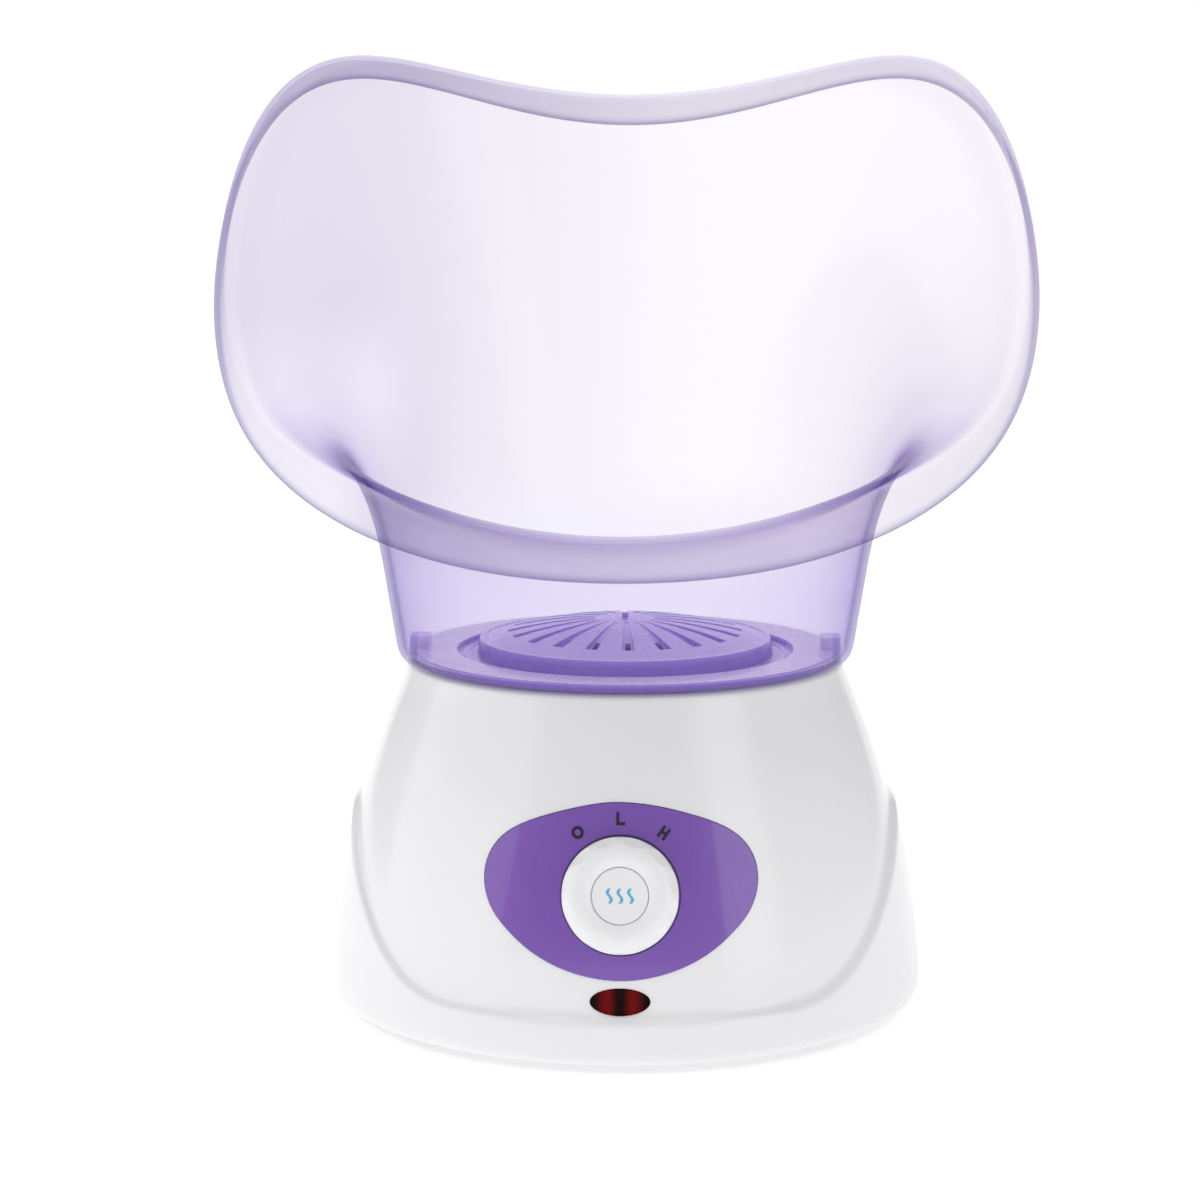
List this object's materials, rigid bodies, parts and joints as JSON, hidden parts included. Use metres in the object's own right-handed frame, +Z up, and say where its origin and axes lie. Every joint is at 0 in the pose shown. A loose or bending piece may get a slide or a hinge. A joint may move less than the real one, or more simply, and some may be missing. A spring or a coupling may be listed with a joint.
{
  "type": "facial steamer",
  "caption": "Tabletop facial steamer: bell-shaped base with a rotary heat dial, a heated water bowl under a slotted steam plate, and a clear lift-off face mask.",
  "frame": {"origin": "on the base's vertical axis, at the table plane under the rubber feet", "axes": "+Z up, -Y towards the dial and the user's chin, +X to the right of someone facing the dial"},
  "size_m": [0.2196, 0.1808, 0.2529],
  "materials": {
    "white_abs": "injection-moulded ABS, high gloss",
    "white_knob": "injection-moulded ABS, satin gloss",
    "white_base": "injection-moulded ABS, fine matte grain",
    "purple_gloss": "moulded in colour, high gloss",
    "purple_plate": "tinted translucent moulding, gloss",
    "lavender_clear": "clear lavender moulding, gloss",
    "dial_print": "dark print",
    "cap_print": "light blue print",
    "red_lens": "clear red moulding, gloss",
    "black_plastic": "phenolic moulding, matte",
    "cream_plastic": "nylon moulding, matte",
    "feet_rubber": "soft grey rubber, matte",
    "seal_silicone": "translucent silicone, matte",
    "bowl_aluminium": "pressed and brushed, satin",
    "plate_aluminium": "mill finish",
    "screw_steel": "zinc plated",
    "brass": "bright nickel-free brass",
    "lamp_glass": "clear glass",
    "mica": "mica sheet, satin",
    "wire_brown": "silicone-insulated wire",
    "wire_blue": "silicone-insulated wire",
    "wire_white": "silicone-insulated wire"
  },
  "bodies": {
    "base": {"housing": "white_abs", "bottom_cover": "white_base", "rubber_feet": "feet_rubber", "base_screws": "screw_steel", "cord_grommet": "white_base", "control_panel": "purple_gloss", "dial_marks": "dial_print", "rotary_switch": "black_plastic", "switch_terminals": "brass", "switch_nut": "screw_steel", "indicator_lens": "red_lens", "lamp_holder": "black_plastic", "neon_lamp": "lamp_glass", "water_bowl": "bowl_aluminium", "bowl_seal": "seal_silicone", "bowl_screws": "screw_steel", "heater_plate": "plate_aluminium", "mica_sheet": "mica", "heater_clamp": "plate_aluminium", "clamp_screws": "screw_steel", "thermostat": "black_plastic", "thermostat_screws": "screw_steel", "thermal_fuse": "cream_plastic", "fuse_clip": "screw_steel", "terminal_block": "cream_plastic", "terminal_screws": "brass", "live_wire": "wire_brown", "switch_wire": "wire_brown", "fuse_wire": "wire_white", "heater_wire": "wire_white", "neutral_wire": "wire_blue", "lamp_leads": "wire_blue"},
    "knob": {"control_knob": "white_knob", "knob_cap": "white_knob", "cap_symbol": "cap_print", "switch_shaft": "cream_plastic"},
    "plate": {"steam_plate": "purple_plate"},
    "mask": {"face_mask": "lavender_clear"}
  },
  "joints": [
    {"name": "knob_turn", "type": "hinge", "parent": "base", "child": "knob", "pos_m": [0, -0.07398, 0.045], "axis": [0, 0.9744, -0.225], "range_deg": [0, 70]},
    {"name": "plate_lift", "type": "slide", "parent": "base", "child": "plate", "axis": [0, 0, 1], "range_m": [0, 0.12]},
    {"name": "mask_lift", "type": "slide", "parent": "base", "child": "mask", "axis": [0, 0, 1], "range_m": [0, 0.12]}
  ]
}
